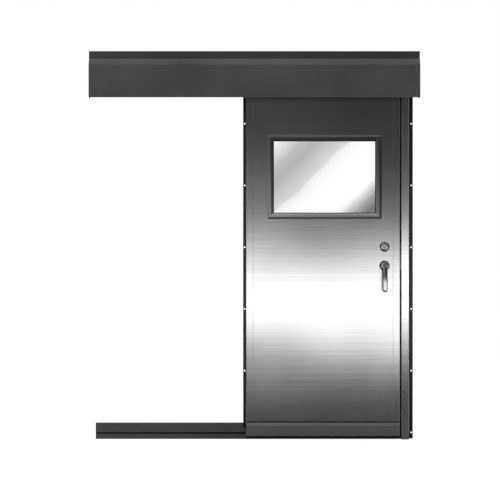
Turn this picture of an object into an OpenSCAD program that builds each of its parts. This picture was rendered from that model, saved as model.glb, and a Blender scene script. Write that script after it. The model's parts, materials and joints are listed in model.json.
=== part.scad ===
// Sliding wheelhouse door: a steel leaf that hangs on rollers from a hooded rail, closes
// against a strike post, and slides to the left in front of the bulkhead.
// Millimetres. X runs along the bulkhead and is 0 at the middle of the doorway, Y goes into
// the bulkhead and is 0 on its face, so the front is at -Y, and Z is 0 at the sill's foot.

/* [Doorway] */
// Clear width of the doorway
clear_w = 750; // [600:10:900]
// Clear height of the doorway above the sill
clear_h = 1700; // [1500:10:1900]
// How far the leaf slides open
travel = 760; // [600:5:780]

/* [Frame] */
// Width of the left jamb along the bulkhead
left_jamb_w = 65; // [60:1:100]
// Width of the right jamb along the bulkhead
right_jamb_w = 89; // [75:1:120]
// Height of the frame's head over the doorway
head_h = 65; // [50:1:100]
// Thickness of the flange that is bolted to the bulkhead
flange_t = 8; // [5:0.5:12]
// Width of the raised stop that carries the seal
stop_w = 40; // [30:1:44]
// How far the raised stop's face stands off the bulkhead
stop_d = 34; // [25:0.5:35]
// Wall of the hollow frame sections
frame_wall = 3; // [2:0.5:4]
// Diameter of the bolt holes in the flanges
bolt_d = 9; // [6:0.5:11]
// Distance of the bolt holes from the frame's outer edge
bolt_edge = 8; // [7:0.5:12]
// Height of the lowest bolt hole
bolt_z0 = 32; // [20:1:60]
// Bolt holes in each side flange
bolt_rows = 6; // [4:1:8]
// Distance of the top bolt hole below the clear height's top
bolt_top_gap = 108; // [60:1:200]

/* [Strike post] */
// Width of the post that the leaf closes against
post_w = 40; // [30:1:60]
// Gap between the closed leaf and the post
post_gap = 8; // [7:0.5:15]
// How far the post's face lies behind the leaf's face
post_setback = 1; // [0:0.5:10]

/* [Sill track] */
// Height of the sill track
sill_h = 85; // [70:1:120]
// Depth of the sill track
sill_d = 40; // [36:1:60]
// Wall of the sill track
sill_wall = 4; // [3:0.5:5]
// Height of the guide slot's lower edge
slot_z = 26; // [24:0.5:34]
// Height of the guide slot
slot_h = 9; // [7:0.5:12]
// How far the left jamb is let into the track
jamb_let = 27; // [10:1:40]
// How far the track runs past the open leaf
track_margin = 36; // [20:1:60]

/* [Header] */
// How far the hood comes down over the leaf's top
hood_cover = 38; // [25:1:60]
// Height of the hood's front face
hood_face_h = 173; // [165:1:220]
// Height and depth of the slope above that face
hood_slope = 33; // [20:1:40]
// How far the hood's face stands off the bulkhead
hood_d = 120; // [115:1:160]
// Rise of the hood's top towards the bulkhead
hood_fall = 5; // [2:1:12]
// Depth of the lip that is turned in under the hood
hood_lip = 14; // [8:1:20]
// Thickness of the hood's sheet
hood_t = 2.5; // [1.5:0.5:4]
// How far the hood runs past the open leaf
hood_margin = 73; // [60:1:120]
// How far the hood runs past the frame on the right
hood_overhang = 33; // [20:1:60]
// Thickness of the wall plate behind the hood
plate_t = 6; // [4:0.5:8]
// Height of the wall plate that shows above the hood
plate_rise = 41; // [30:1:70]
// How far the wall plate runs past the hood at each end
plate_over = 5; // [2:1:20]
// Width and height of the rail that the rollers run on
rail = [8, 45]; // [6:1:60]
// Height of the rail's running edge above the leaf's top
rail_rise = 85; // [75:1:95]
// Diameter of the spacers that carry the rail
spacer_d = 24; // [16:1:30]
// Number of spacers
spacers = 6; // [4:1:8]
// Length of a rail stop
stop_len = 40; // [30:1:60]

/* [Leaf] */
// Thickness of the leaf
leaf_t = 40; // [36:1:60]
// Running gap between the leaf's back and the sill track
leaf_clear = 5; // [5:0.5:10]
// Gap under the leaf
leaf_bottom = 18; // [12:0.5:22]
// How far the leaf covers the left jamb
cover_left = 49; // [45:1:55]
// How far the leaf covers the right jamb
cover_right = 16; // [14:1:18]
// Width of the edge stiles and of the top rail
stile_w = 37; // [30:1:50]
// Wall of the hollow stiles and rails
stile_wall = 3; // [2:0.5:4]
// Radius of the stiles' and the post's folded edges
fold_r = 2.5; // [1:0.5:4]
// Height of the bottom rail
bottom_rail_h = 37; // [30:1:45]
// Thickness of the face skins
skin_t = 1.5; // [1:0.1:3]
// How far the skins lie below the faces of the stiles
skin_drop = 0.8; // [0.4:0.1:2]
// Height of the strip along the leaf's foot
kick_h = 71; // [45:1:95]
// Thickness of that strip
kick_t = 2; // [1:0.5:4]
// Depth and height of the slope along that strip's top
kick_slope = [0.8, 18]; // [0.2:0.1:20]
// Height of the rubber lip under the leaf
lip_h = 14; // [6:0.5:16]
// Thickness of the rubber lip
lip_t = 12; // [6:0.5:20]

/* [Window] */
// Width of the opening inside the window frame
window_w = 544; // [400:1:600]
// Height of the opening inside the window frame
window_h = 385; // [300:1:500]
// Distance of the window's middle below the leaf's top
window_drop = 459; // [380:1:600]
// Distance of the window's middle from the leaf's middle, towards the closing edge
window_shift = 8; // [0:1:20]
// Width of the window frame's face
bezel_w = 31; // [26:1:40]
// Height of the window frame above the skin
bezel_t = 9; // [5:0.5:15]
// Outer corner radius of the window frame
bezel_r = 12; // [6:1:20]
// Width and depth of the bevels round the outside and the inside of the window frame
bezel_bevel = [11, 6.5]; // [1:0.5:12]
// Width of the glazing bead behind the glass
bead_w = 10; // [8:1:16]
// Thickness of the glass
glass_t = 8; // [5:0.5:12]
// Depth of the gasket in front of the glass
gasket_d = 7; // [4:0.5:12]
// Width of the gasket that shows inside the frame
gasket_show = 4; // [1:0.5:10]

/* [Lock] */
// Distance of the handle from the leaf's closing edge
backset = 81; // [65:1:100]
// Height of the handle's spindle
handle_z = 920; // [850:1:1050]
// Height of the lock cylinder above the spindle
lock_rise = 101; // [85:1:120]
// Diameter of the handle's rose
rose_d = 56; // [44:1:60]
// Height of the handle's rose
rose_t = 12; // [8:0.5:14]
// Diameter of the lever's neck
neck_d = 18; // [14:1:22]
// How far the lever's grip stands off the skin
lever_off = 42; // [38:1:60]
// Length of the lever from its spindle
lever_len = 138; // [110:1:150]
// Width of the lever's grip
lever_w = 30; // [24:1:34]
// Thickness of the lever's grip
lever_t = 17; // [12:1:18]
// How much narrower the grip is at its tip
lever_taper = 4; // [0:0.5:6]
// Length of the flush pull on the inside
pull_len = 164; // [140:1:200]
// Width of the flush pull
pull_w = 64; // [56:1:76]
// Depth of the flush pull
pull_d = 17; // [14:1:20]
// Distance of the flush pull's middle below the spindle
pull_drop = 40; // [30:1:50]
// Corner radius of the flush pull
pull_r = 10; // [4:1:16]
// Length of the lock's faceplate
faceplate_len = 240; // [200:1:280]
// Width of the lock's faceplate
faceplate_w = 22; // [18:1:26]

/* [Rollers] */
// Distance of each hanger from the leaf's edge
hanger_in = 120; // [90:1:180]
// Outer radius of a roller
roller_r = 29; // [26:1:32]
// Width of a roller
roller_w = 24; // [20:1:28]
// Depth of a roller's groove
groove_d = 5; // [4:0.5:8]
// Diameter of a roller's axle
axle_d = 12; // [10:1:16]
// Thickness of a hanger's foot and strap
hanger_t = [8, 6]; // [4:0.5:12]
// Width of a guide tongue on the leaf's foot
tongue_w = 60; // [40:1:90]

/* [Hidden] */
$fn = 64;
// Clearances: a roller over its rail, a round fit, and a moving piece beside a fixed one
seat = 0.3;
fit = 0.1;
turn = 0.1;
run = 8;
eps = 1;

// Doorway and frame
door_x0 = -clear_w / 2;
door_x1 = clear_w / 2;
frame_x0 = door_x0 - left_jamb_w;
frame_x1 = door_x1 + right_jamb_w;
door_top = sill_h + clear_h;
head_top = door_top + head_h;
bolt_pitch = (door_top - bolt_top_gap - bolt_z0) / (bolt_rows - 1);
seal_w = 14;
seal_t = sill_d - stop_d;

// Leaf
leaf_x0 = door_x0 - cover_left;
leaf_x1 = door_x1 + cover_right;
leaf_top = head_top;
leaf_back = -(sill_d + leaf_clear);
leaf_front = leaf_back - leaf_t;
leaf_mid = (leaf_front + leaf_back) / 2;
panel_x0 = leaf_x0 + stile_w;
panel_x1 = leaf_x1 - stile_w;
panel_z0 = leaf_bottom + bottom_rail_h;
panel_z1 = leaf_top - stile_w;
skin_front = leaf_front + skin_drop;
skin_back = leaf_back - skin_drop;

// Strike post
post_x0 = leaf_x1 + post_gap;
post_front = leaf_front + post_setback;
right_stop_w = post_x0 - door_x1;

// Header
hood_x0 = leaf_x0 - travel - hood_margin;
hood_x1 = frame_x1 + hood_overhang;
hood_z0 = leaf_top - hood_cover;
hood_z1 = hood_z0 + hood_face_h;
hood_z2 = hood_z1 + hood_slope;
hood_top = hood_z2 + hood_fall;
plate_top = hood_top + plate_rise;
rail_top = leaf_top + rail_rise;
rail_end = 20;
hood_path = [
    [-(hood_d - hood_lip), hood_z0],
    [-hood_d, hood_z0],
    [-hood_d, hood_z1],
    [-(hood_d - hood_slope), hood_z2],
    [-plate_t, hood_top]
];

// Rollers and stops
hanger_x = [leaf_x0 + hanger_in, leaf_x1 - hanger_in];
tread_r = roller_r - groove_d;
roller_z = rail_top + tread_r + seat;
groove_play = 3;
groove_w = rail[0] + groove_play;
strap_w = 50;
foot_w = 120;
strap_out = 22;
strap_front = leaf_mid - strap_out;
axle_head = 8;
stop_cheek = 6;
stop_h = 40;

// Sill track and guides
track_x0 = leaf_x0 - travel - track_margin;
tongue_play = 4;
tongue_t = slot_h - tongue_play;
tongue_head_h = 21;
tongue_head_t = 4;
tongue_reach = 15;

// Lock and handle
handle_x = leaf_x1 - backset;
lock_z = handle_z + lock_rise;
barrel_d = 22;
lock_rose_d = 54;
lock_rose_t = 9;
rose_rim = 1.5;
rose_rest = 2;
key_slot = [3, 10, 4];
spindle_w = 8;
spindle_hole = 14;
pull_wall = 3;
pull_z = handle_z - pull_drop;
turn_hub_d = 16;
turn_bar = [11, 40, 9];
faceplate_z = (handle_z + lock_z) / 2;
faceplate_mid = leaf_mid;
strike_t = 2;
hook_slot = [12, 70];

// Window, hung from the leaf's top
window_x = (leaf_x0 + leaf_x1) / 2 + window_shift;
window_z = leaf_top - window_drop;
cut_w = window_w + 2 * bead_w;
cut_h = window_h + 2 * bead_w;
glass_front = skin_front + gasket_d;

// Colours as the photograph shows them
brushed = [0.62, 0.62, 0.63];
dark_steel = [0.26, 0.26, 0.27];
black_steel = [0.12, 0.12, 0.12];
black_rubber = [0.05, 0.05, 0.05];
bright_steel = [0.55, 0.55, 0.56];
clear_glass = [0.82, 0.86, 0.87, 0.4];
white_nylon = [0.85, 0.85, 0.82];
grey_foam = [0.7, 0.68, 0.6];

// Shared shapes

// A block between two corners
module block(low, high) {
    translate(low) cube(high - low);
}

// A profile in X and Y that stands from z0 to z1
module upright(z0, z1) {
    translate([0, 0, z0]) linear_extrude(z1 - z0) children();
}

// A profile drawn in Y and Z that runs from x0 to x1
module along_x(x0, x1) {
    translate([x0, 0, 0]) rotate([90, 0, 90]) linear_extrude(x1 - x0) children();
}

// A shape drawn in X and Z that goes back from y0 to y1
module through_y(y0, y1) {
    translate([0, y1, 0]) rotate([90, 0, 0]) linear_extrude(y1 - y0) children();
}

// A round bar along Y from y0 to y1
module bar_y(x, z, d, y0, y1) {
    translate([x, y1, z]) rotate([90, 0, 0]) cylinder(d = d, h = y1 - y0);
}

// A solid turned about the Y axis from a profile of radius and depth
module turned_y(x, z) {
    translate([x, 0, z]) rotate([90, 0, 0]) mirror([0, 0, 1]) rotate_extrude() children();
}

// A rectangle between two corners
module rect(low, high) {
    translate(low) square(high - low);
}

// A hollow rectangle between two corners
module hollow_rect(low, high, wall) {
    difference() {
        rect(low, high);
        rect(low + [wall, wall], high - [wall, wall]);
    }
}

// A rectangle of a width and a height about a middle
module centred_rect(middle, size) {
    translate(middle - size / 2) square(size);
}

// The same with round corners of radius r
module rounded_rect(middle, size, r) {
    centred_rect(middle, size - [2 * r, 0]);
    centred_rect(middle, size - [0, 2 * r]);
    for (sx = [-1, 1], sz = [-1, 1])
        translate(middle + [sx * (size[0] / 2 - r), sz * (size[1] / 2 - r)]) circle(r);
}

// A hollow rectangle between two corners with folded edges
module folded_tube(low, high, wall) {
    difference() {
        rounded_rect((low + high) / 2, high - low, fold_r);
        rect(low + [wall, wall], high - [wall, wall]);
    }
}

// Points of an arc about a middle, from angle a0 to a1
function arc(middle, r, a0, a1, steps = 6) = [
    for (i = [0 : steps])
        let (a = a0 + (a1 - a0) * i / steps)
        middle + r * [cos(a), sin(a)]
];

// Unit direction of a path's piece, and the side that the sheet's thickness lies on
function dir(a, b) = (b - a) / norm(b - a);
function side(d) = [d[1], -d[0]];
function mitre(d0, d1) = (side(d0) + side(d1)) / (1 + d0 * d1);

// Points of a path moved sideways by t, with mitred corners
function beside(path, t) = [
    for (i = [0 : len(path) - 1])
        let (
            last = len(path) - 1,
            before = dir(path[max(i - 1, 0)], path[max(i, 1)]),
            after = dir(path[min(i, last - 1)], path[min(i + 1, last)])
        )
        path[i] + t * mitre(before, after)
];
function backwards(list) = [for (i = [len(list) - 1 : -1 : 0]) list[i]];

// A folded sheet that follows a path
module sheet_profile(path, t) {
    polygon(concat(path, backwards(beside(path, t))));
}

// Frame

// Bolt holes through a flange whose hole line is at x
module flange_bolts(x) {
    for (row = [0 : bolt_rows - 1])
        bar_y(x, bolt_z0 + row * bolt_pitch, bolt_d, -flange_t - eps, eps);
}

// A hollow stop on a flange, drawn in X and Y, from x0 to x1
module stop_profile(x0, x1) {
    difference() {
        rect([x0, -stop_d], [x1, -flange_t]);
        rect([x0 + frame_wall, -stop_d + frame_wall], [x1 - frame_wall, -flange_t]);
    }
}

module left_jamb() {
    color(black_steel) difference() {
        upright(sill_h - jamb_let, door_top) {
            rect([frame_x0, -flange_t], [door_x0, 0]);
            stop_profile(door_x0 - stop_w, door_x0);
        }
        flange_bolts(frame_x0 + bolt_edge);
    }
}

module right_jamb() {
    color(black_steel) difference() {
        upright(0, door_top) {
            rect([door_x1, -flange_t], [frame_x1, 0]);
            stop_profile(door_x1, post_x0);
        }
        flange_bolts(frame_x1 - bolt_edge);
    }
}

module frame_head() {
    color(black_steel) {
        along_x(frame_x0, frame_x1) rect([-flange_t, door_top], [0, head_top]);
        along_x(door_x0 - stop_w, post_x0) difference() {
            rect([-stop_d, door_top], [-flange_t, door_top + stop_w]);
            rect(
                [-stop_d + frame_wall, door_top + frame_wall],
                [-flange_t, door_top + stop_w - frame_wall]
            );
        }
    }
}

// The post that the leaf closes against, with the hook's slot in its side
module strike_post() {
    color(brushed) difference() {
        upright(0, head_top)
            folded_tube([post_x0, post_front], [post_x0 + post_w, -flange_t], frame_wall);
        hook_opening(post_x0 - eps, post_x0 + frame_wall + eps);
    }
}

// The slot that the hook bolt passes through, from x0 to x1
module hook_opening(x0, x1) {
    block(
        [x0, faceplate_mid - hook_slot[0] / 2, faceplate_z - hook_slot[1] / 2],
        [x1, faceplate_mid + hook_slot[0] / 2, faceplate_z + hook_slot[1] / 2]
    );
}

module strike_plate() {
    color(bright_steel) difference() {
        block(
            [post_x0 - strike_t, faceplate_mid - faceplate_w / 2, faceplate_z - hook_slot[1]],
            [post_x0, faceplate_mid + faceplate_w / 2, faceplate_z + hook_slot[1]]
        );
        hook_opening(post_x0 - strike_t - eps, post_x0 + eps);
    }
}

// A seal with a round nose, drawn across its width and its depth, standing on y = 0
module seal_profile(w) {
    nose = seal_t / 2;
    rect([-w / 2, -nose], [w / 2, 0]);
    rect([-w / 2 + nose, -seal_t], [w / 2 - nose, 0]);
    for (s = [-1, 1]) translate([s * (w / 2 - nose), -nose]) circle(nose);
}

module left_seal() {
    color(black_rubber) upright(sill_h, door_top)
        translate([door_x0 - stop_w / 2, -stop_d]) seal_profile(seal_w);
}

module right_seal() {
    color(black_rubber) upright(sill_h, door_top)
        translate([door_x1 + cover_right / 2, -stop_d]) seal_profile(seal_w);
}

module head_seal() {
    color(black_rubber) along_x(door_x0 - stop_w, post_x0)
        translate([-stop_d, door_top + stop_w / 2]) rotate(-90) seal_profile(seal_w);
}

// Sill track

// The track, with its guide slot and the notch for the left jamb's foot
module sill_track() {
    color(dark_steel) difference() {
        along_x(track_x0, door_x1) difference() {
            hollow_rect([-sill_d, 0], [0, sill_h], sill_wall);
            rect([-sill_d - eps, slot_z], [-sill_d + sill_wall + eps, slot_z + slot_h]);
        }
        block([frame_x0, -sill_d - eps, sill_h - jamb_let], [door_x0, eps, sill_h + eps]);
    }
}

module track_end_cap() {
    color(dark_steel)
        block([track_x0 - sill_wall, -sill_d, 0], [track_x0, 0, sill_h]);
}

// Header

module wall_plate() {
    color(dark_steel)
        block([hood_x0 - plate_over, -plate_t, head_top], [hood_x1 + plate_over, 0, plate_top]);
}

module hood_cover() {
    color(dark_steel) along_x(hood_x0 + hood_t, hood_x1 - hood_t) intersection() {
        sheet_profile(hood_path, hood_t);
        rect([-hood_d, hood_z0], [-plate_t, hood_top]);
    }
}

// A plate that closes the hood from x0 to x1
module hood_end(x0, x1) {
    color(dark_steel) along_x(x0, x1)
        polygon(concat([[-plate_t, hood_z0]], [for (i = [1 : len(hood_path) - 1]) hood_path[i]]));
}

module hood_left_end() {
    hood_end(hood_x0, hood_x0 + hood_t);
}

module hood_right_end() {
    hood_end(hood_x1 - hood_t, hood_x1);
}

module roller_rail() {
    color(bright_steel) block(
        [hood_x0 + rail_end, leaf_mid - rail[0] / 2, rail_top - rail[1]],
        [hood_x1 - rail_end, leaf_mid + rail[0] / 2, rail_top]
    );
}

module rail_spacers() {
    first = hood_x0 + 3 * rail_end;
    pitch = (hood_x1 - hood_x0 - 6 * rail_end) / (spacers - 1);
    color(dark_steel) for (i = [0 : spacers - 1])
        bar_y(first + i * pitch, rail_top - rail[1] / 2, spacer_d,
            leaf_mid + rail[0] / 2, -plate_t);
}

// A stop that sits astride the rail from x0
module rail_stop(x0) {
    half = rail[0] / 2 + stop_cheek;
    color(black_rubber) along_x(x0, x0 + stop_len) difference() {
        rect([leaf_mid - half, rail_top - stop_h / 2], [leaf_mid + half, rail_top + stop_h]);
        rect([leaf_mid - rail[0] / 2, rail_top - stop_h / 2 - eps], [leaf_mid + rail[0] / 2, rail_top]);
    }
}

module left_rail_stop() {
    rail_stop(hanger_x[0] - travel - roller_r - run - stop_len);
}

module right_rail_stop() {
    rail_stop(hanger_x[1] + roller_r + run);
}

// Leaf

// Outline of the panel between the stiles, with the window cut out
module panel_outline() {
    difference() {
        rect([panel_x0, panel_z0], [panel_x1, panel_z1]);
        centred_rect([window_x, window_z], [cut_w, cut_h]);
    }
}

// Hole for a round piece of the lock
module lock_hole(z, d) {
    translate([handle_x, z]) circle(d = d);
}

// Pocket that the flush pull sits in
module pull_outline(grow = 0) {
    rounded_rect([handle_x, pull_z], [pull_w + grow, pull_len + grow], pull_r + grow / 2);
}

module leaf_front_skin() {
    color(brushed) through_y(skin_front, skin_front + skin_t) difference() {
        panel_outline();
        lock_hole(handle_z, spindle_hole);
        lock_hole(lock_z, barrel_d + 2 * fit);
    }
}

module leaf_core() {
    core_back = skin_back - skin_t;
    color(grey_foam) difference() {
        through_y(skin_front + skin_t, core_back) difference() {
            panel_outline();
            lock_hole(handle_z, spindle_hole);
            lock_hole(lock_z, barrel_d + 2 * fit);
        }
        through_y(skin_back - pull_d, core_back + eps) pull_outline();
    }
}

module leaf_back_skin() {
    color(brushed) through_y(skin_back - skin_t, skin_back) difference() {
        panel_outline();
        pull_outline();
        lock_hole(lock_z, barrel_d + 2 * fit);
    }
}

// A hollow stile from x0
module stile(x0) {
    upright(leaf_bottom, leaf_top)
        folded_tube([x0, leaf_front], [x0 + stile_w, leaf_back], stile_wall);
}

module left_stile() {
    color(brushed) stile(leaf_x0);
}

module right_stile() {
    color(brushed) difference() {
        stile(panel_x1);
        faceplate_block(leaf_x1 - stile_wall - eps, leaf_x1 + eps);
    }
}

// A hollow rail between the stiles, from z0 to z1
module leaf_rail(z0, z1) {
    along_x(panel_x0, panel_x1) hollow_rect([leaf_front, z0], [leaf_back, z1], stile_wall);
}

module leaf_top_rail() {
    color(brushed) leaf_rail(panel_z1, leaf_top);
}

module leaf_bottom_rail() {
    color(brushed) leaf_rail(leaf_bottom, panel_z0);
}

module kick_strip() {
    kick_top = leaf_bottom + kick_h;
    color(brushed) along_x(leaf_x0, leaf_x1) polygon([
        [leaf_front, leaf_bottom],
        [leaf_front - kick_t, leaf_bottom],
        [leaf_front - kick_t, kick_top - kick_slope[1]],
        [leaf_front - kick_t + kick_slope[0], kick_top],
        [leaf_front, kick_top]
    ]);
}

// The rubber lip that closes the gap under the leaf
module bottom_lip() {
    half = lip_t / 2;
    tip = half / 2;
    color(black_rubber) along_x(leaf_x0, leaf_x1) polygon([
        [leaf_mid - half, leaf_bottom],
        [leaf_mid - tip, leaf_bottom - lip_h],
        [leaf_mid + tip, leaf_bottom - lip_h],
        [leaf_mid + half, leaf_bottom]
    ]);
}

// Window

module window_frame() {
    middle = [window_x, window_z];
    opening = [window_w, window_h];
    outer = opening + 2 * [bezel_w, bezel_w];
    face_y = skin_front - bezel_t;
    color(brushed) difference() {
        intersection() {
            along_x(window_x - outer[0] / 2, window_x + outer[0] / 2)
                bevelled_slab(window_z, outer[1], face_y);
            upright(window_z - outer[1] / 2, window_z + outer[1] / 2)
                mirror([1, -1]) bevelled_slab(window_x, outer[0], face_y);
            through_y(face_y, skin_front) rounded_rect(middle, outer, bezel_r);
        }
        intersection() {
            along_x(window_x - outer[0] / 2, window_x + outer[0] / 2)
                flared_slab(window_z, opening[1], face_y);
            upright(window_z - outer[1] / 2, window_z + outer[1] / 2)
                mirror([1, -1]) flared_slab(window_x, opening[0], face_y);
        }
    }
}

// Section of the window frame's block, drawn in depth and width, with its front bevelled
module bevelled_slab(middle, width, face_y) {
    half = width / 2;
    polygon([
        [skin_front, middle - half],
        [face_y + bezel_bevel[1], middle - half],
        [face_y, middle - half + bezel_bevel[0]],
        [face_y, middle + half - bezel_bevel[0]],
        [face_y + bezel_bevel[1], middle + half],
        [skin_front, middle + half]
    ]);
}

// Section of the opening through that block, wider towards the front
module flared_slab(middle, width, face_y) {
    half = width / 2;
    wide = half + bezel_bevel[0];
    polygon([
        [skin_front + eps, middle - half],
        [face_y + bezel_bevel[1], middle - half],
        [face_y, middle - wide],
        [face_y - eps, middle - wide],
        [face_y - eps, middle + wide],
        [face_y, middle + wide],
        [face_y + bezel_bevel[1], middle + half],
        [skin_front + eps, middle + half]
    ]);
}

module window_gasket() {
    middle = [window_x, window_z];
    color(black_rubber) through_y(skin_front, glass_front) difference() {
        centred_rect(middle, [cut_w, cut_h]);
        centred_rect(middle, [window_w, window_h] - 2 * [gasket_show, gasket_show]);
    }
}

module window_glass() {
    color(clear_glass) through_y(glass_front, glass_front + glass_t)
        centred_rect([window_x, window_z], [cut_w, cut_h]);
}

module window_bead() {
    middle = [window_x, window_z];
    color(brushed) through_y(glass_front + glass_t, skin_back) difference() {
        centred_rect(middle, [cut_w, cut_h]);
        centred_rect(middle, [window_w, window_h]);
    }
}

// Lock and handle

// A domed rose with a low rim, turned about its hole
module rose(z, d, t, hole) {
    inner = hole / 2 + rose_rest;
    steps = 8;
    color(bright_steel) turned_y(handle_x, z) translate([0, skin_front]) polygon(concat(
        [[hole / 2, 0], [hole / 2, -t]],
        [for (i = [0 : steps])
            let (u = i / steps)
            [inner + (d / 2 - inner) * u, -rose_rim - (t - rose_rim) * (1 - pow(u, 1.5))]
        ],
        [[d / 2, 0]]
    ));
}

module handle_rose() {
    rose(handle_z, rose_d, rose_t, neck_d + 2 * turn);
}

module lock_rose() {
    rose(lock_z, lock_rose_d, lock_rose_t, barrel_d + 2 * fit);
}

module lock_barrel() {
    nose = skin_front - lock_rose_t;
    color(bright_steel) difference() {
        bar_y(handle_x, lock_z, barrel_d, nose, skin_back);
        block(
            [handle_x - key_slot[0] / 2, nose - eps, lock_z - key_slot[1] / 2],
            [handle_x + key_slot[0] / 2, nose + key_slot[2], lock_z + key_slot[1] / 2]
        );
    }
}

// The faceplate's space in the closing edge, from x0 to x1
module faceplate_block(x0, x1) {
    block(
        [x0, faceplate_mid - faceplate_w / 2, faceplate_z - faceplate_len / 2],
        [x1, faceplate_mid + faceplate_w / 2, faceplate_z + faceplate_len / 2]
    );
}

module lock_faceplate() {
    color(bright_steel) difference() {
        faceplate_block(leaf_x1 - stile_wall, leaf_x1);
        hook_opening(leaf_x1 - stile_wall - eps, leaf_x1 + eps);
    }
}

// The dish on the inside that a hand pulls the leaf with
module flush_pull() {
    floor_y = skin_back - pull_d;
    color(bright_steel) difference() {
        through_y(floor_y, skin_back) pull_outline();
        through_y(floor_y + pull_wall, skin_back + eps) pull_outline(-2 * pull_wall);
        bar_y(handle_x, handle_z, turn_hub_d + 2 * turn, floor_y - eps, skin_back);
    }
}

// The neck turns in the rose, and the grip hangs from it and narrows to a round tip
module lever_handle() {
    grip_y = skin_front - lever_off;
    r = lever_t / 2;
    color(bright_steel) {
        bar_y(handle_x, handle_z, neck_d, grip_y, skin_front - seat);
        hull() for (end = [[lever_w, 0], [lever_w - lever_taper, lever_len - r]], s = [-1, 1])
            translate([handle_x + s * (end[0] / 2 - r), grip_y, handle_z - end[1]])
                sphere(r, $fn = 40);
    }
}

module handle_spindle() {
    half = spindle_w / 2;
    color(bright_steel) block(
        [handle_x - half, skin_front - seat, handle_z - half],
        [handle_x + half, skin_back - pull_d, handle_z + half]
    );
}

// The turn in the dish that works the lock from the inside
module inside_turn() {
    floor_y = skin_back - pull_d;
    hub_end = floor_y + pull_wall + turn;
    color(bright_steel) {
        bar_y(handle_x, handle_z, turn_hub_d, floor_y, hub_end);
        through_y(hub_end, hub_end + turn_bar[2])
            centred_rect([handle_x, handle_z], [turn_bar[0], turn_bar[1]]);
    }
}

// Rollers, hangers and guides

// A hanger on the leaf's top with its axle, at x
module hanger(x) {
    foot_t = hanger_t[0];
    strap_t = hanger_t[1];
    color(dark_steel) {
        block(
            [x - foot_w / 2, strap_front, leaf_top],
            [x + foot_w / 2, leaf_back, leaf_top + foot_t]
        );
        through_y(strap_front, strap_front + strap_t) {
            rect([x - strap_w / 2, leaf_top + foot_t], [x + strap_w / 2, roller_z]);
            translate([x, roller_z]) circle(d = strap_w);
        }
        bar_y(x, roller_z, axle_d, strap_front + strap_t, leaf_mid + roller_w / 2);
        bar_y(x, roller_z, 2 * axle_d, strap_front - axle_head, strap_front);
    }
}

module left_hanger() {
    hanger(hanger_x[0]);
}

module right_hanger() {
    hanger(hanger_x[1]);
}

// A grooved roller at x
module roller(x) {
    half = roller_w / 2;
    color(white_nylon) turned_y(x, roller_z) translate([0, leaf_mid]) polygon([
        [axle_d / 2 + fit, -half],
        [roller_r, -half],
        [roller_r, -groove_w / 2],
        [tread_r, -groove_w / 2],
        [tread_r, groove_w / 2],
        [roller_r, groove_w / 2],
        [roller_r, half],
        [axle_d / 2 + fit, half]
    ]);
}

module left_roller() {
    roller(hanger_x[0]);
}

module right_roller() {
    roller(hanger_x[1]);
}

// Tongues on the leaf's foot that run in the sill track's slot
module guide_tongues() {
    tongue_z = slot_z + slot_h / 2;
    tip = leaf_back + tongue_reach;
    color(white_nylon) for (x = hanger_x) along_x(x - tongue_w / 2, x + tongue_w / 2) {
        rect([leaf_back, tongue_z - tongue_t / 2], [tip, tongue_z + tongue_t / 2]);
        rect(
            [tip, tongue_z - tongue_head_h / 2],
            [tip + tongue_head_t, tongue_z + tongue_head_h / 2]
        );
    }
}

left_jamb();
right_jamb();
frame_head();
strike_post();
strike_plate();
left_seal();
right_seal();
head_seal();
sill_track();
track_end_cap();
wall_plate();
hood_cover();
hood_left_end();
hood_right_end();
roller_rail();
rail_spacers();
left_rail_stop();
right_rail_stop();
leaf_front_skin();
leaf_back_skin();
leaf_core();
left_stile();
right_stile();
leaf_top_rail();
leaf_bottom_rail();
kick_strip();
bottom_lip();
window_frame();
window_gasket();
window_glass();
window_bead();
handle_rose();
lock_rose();
lock_barrel();
lock_faceplate();
flush_pull();
left_hanger();
right_hanger();
left_roller();
right_roller();
guide_tongues();
lever_handle();
handle_spindle();
inside_turn();
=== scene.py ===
# %% [markdown]
# # A sliding wheelhouse door
# The real door is a brushed steel leaf that hangs from a rail under a dark hood and slides along
# a sill track. The solids come from CAD with their sizes and joints settled, so this lesson
# dresses them: it sets up a camera and a studio, mixes a finish for every metal, rubber and
# glass, and models the small shapes that CAD leaves out. Nothing here moves a CAD piece.

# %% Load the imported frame
import json
import math

import bmesh
import bpy
from mathutils import Matrix, Vector


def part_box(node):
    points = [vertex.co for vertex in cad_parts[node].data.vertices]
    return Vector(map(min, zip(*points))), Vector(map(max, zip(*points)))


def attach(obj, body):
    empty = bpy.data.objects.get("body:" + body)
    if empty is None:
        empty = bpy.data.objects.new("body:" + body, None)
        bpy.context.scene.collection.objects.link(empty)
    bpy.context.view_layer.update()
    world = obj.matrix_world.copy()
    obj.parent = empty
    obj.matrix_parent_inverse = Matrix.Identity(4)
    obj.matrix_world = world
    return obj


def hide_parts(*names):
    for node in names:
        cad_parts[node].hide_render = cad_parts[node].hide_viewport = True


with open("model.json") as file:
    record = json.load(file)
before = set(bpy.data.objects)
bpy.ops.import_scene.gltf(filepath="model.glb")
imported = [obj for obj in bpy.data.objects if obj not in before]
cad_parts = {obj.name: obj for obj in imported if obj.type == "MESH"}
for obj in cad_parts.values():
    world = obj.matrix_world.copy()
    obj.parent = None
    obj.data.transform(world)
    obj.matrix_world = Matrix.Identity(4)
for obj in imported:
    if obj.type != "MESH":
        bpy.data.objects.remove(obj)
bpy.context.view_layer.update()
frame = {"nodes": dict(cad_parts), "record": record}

nodes = frame["nodes"]
scene = bpy.context.scene
scene.view_settings.view_transform = "Standard"

# %% [markdown]
# ## The camera
# The picture looks straight at the door, and nearly without perspective: both ends of the hood
# look alike. A long lens from far away gives that. The picture's middle lies left of the leaf,
# because the hood and the track run out to the left.

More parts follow.
